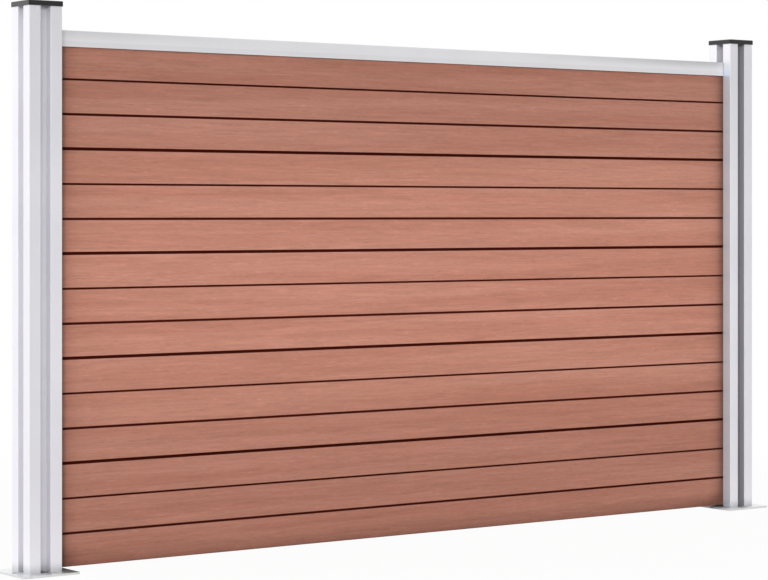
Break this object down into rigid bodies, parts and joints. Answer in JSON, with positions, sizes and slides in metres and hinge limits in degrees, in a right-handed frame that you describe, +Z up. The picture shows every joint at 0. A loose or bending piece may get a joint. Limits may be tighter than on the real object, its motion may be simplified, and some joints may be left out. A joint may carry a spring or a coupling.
{
  "type": "composite garden fence",
  "caption": "Privacy fence panel: grooved brown composite boards stacked under a metal rail between slotted square posts with black caps and base plates.",
  "frame": {"origin": "on the ground, midway between the posts, in the middle plane of the boards", "axes": "+X along the fence to the right post as seen from the front, -Y to the front, +Z up"},
  "size_m": [1.93, 0.12, 1.0839],
  "materials": {
    "aluminium": "satin anodised",
    "composite": "matt, brushed wood grain",
    "galvanised_steel": "satin",
    "screw_steel": "satin",
    "black_plastic": "fine matt"
  },
  "bodies": {
    "root": {"left_post": "aluminium", "left_base_plate": "galvanised_steel", "left_base_screws": "screw_steel", "left_post_cap": "black_plastic", "left_board_support": "black_plastic", "right_post": "aluminium", "right_base_plate": "galvanised_steel", "right_base_screws": "screw_steel", "right_post_cap": "black_plastic", "right_board_support": "black_plastic", "board_1": "composite", "board_2": "composite", "board_3": "composite", "board_4": "composite", "board_5": "composite", "top_rail": "aluminium"}
  },
  "joints": []
}
